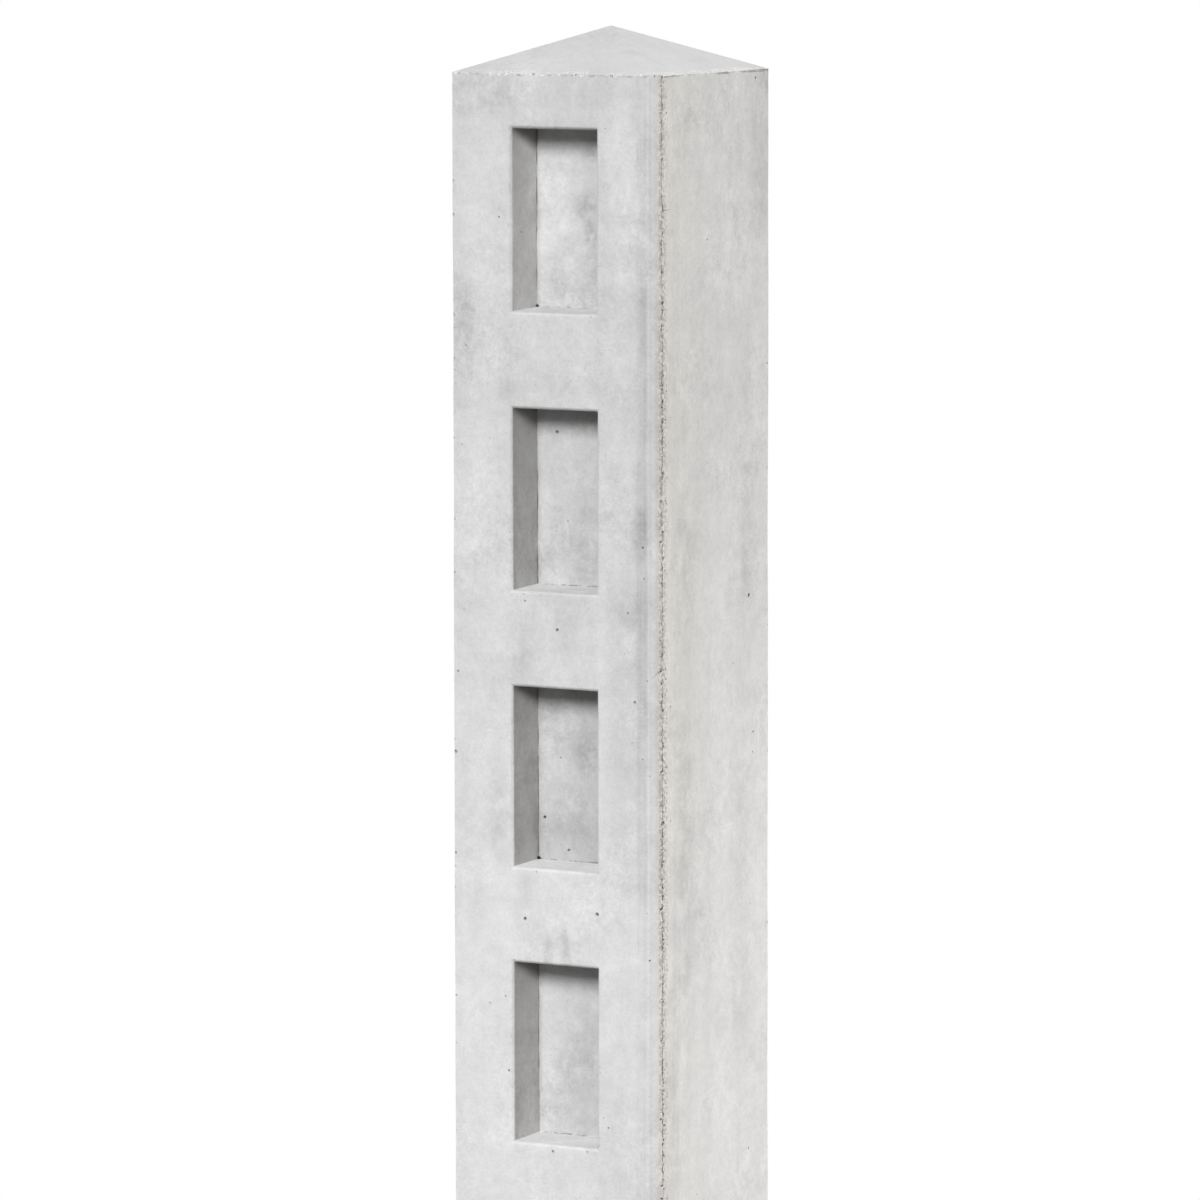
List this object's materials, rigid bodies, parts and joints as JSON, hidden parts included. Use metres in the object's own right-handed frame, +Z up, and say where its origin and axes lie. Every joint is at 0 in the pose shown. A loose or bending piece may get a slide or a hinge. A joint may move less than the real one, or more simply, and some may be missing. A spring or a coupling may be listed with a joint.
{
  "type": "concrete fence post",
  "caption": "Square precast concrete fence post with a low pyramid cap and a row of blind rectangular pockets down one face that hold the ends of fence rails.",
  "frame": {"origin": "centre of the foot", "axes": "+Z up the post, -Y out of the face with the rail pockets, +X to the right seen from that face"},
  "size_m": [0.1, 0.1, 1.2],
  "materials": {
    "concrete": "smooth cast, matt"
  },
  "bodies": {
    "root": {"post": "concrete"}
  },
  "joints": []
}
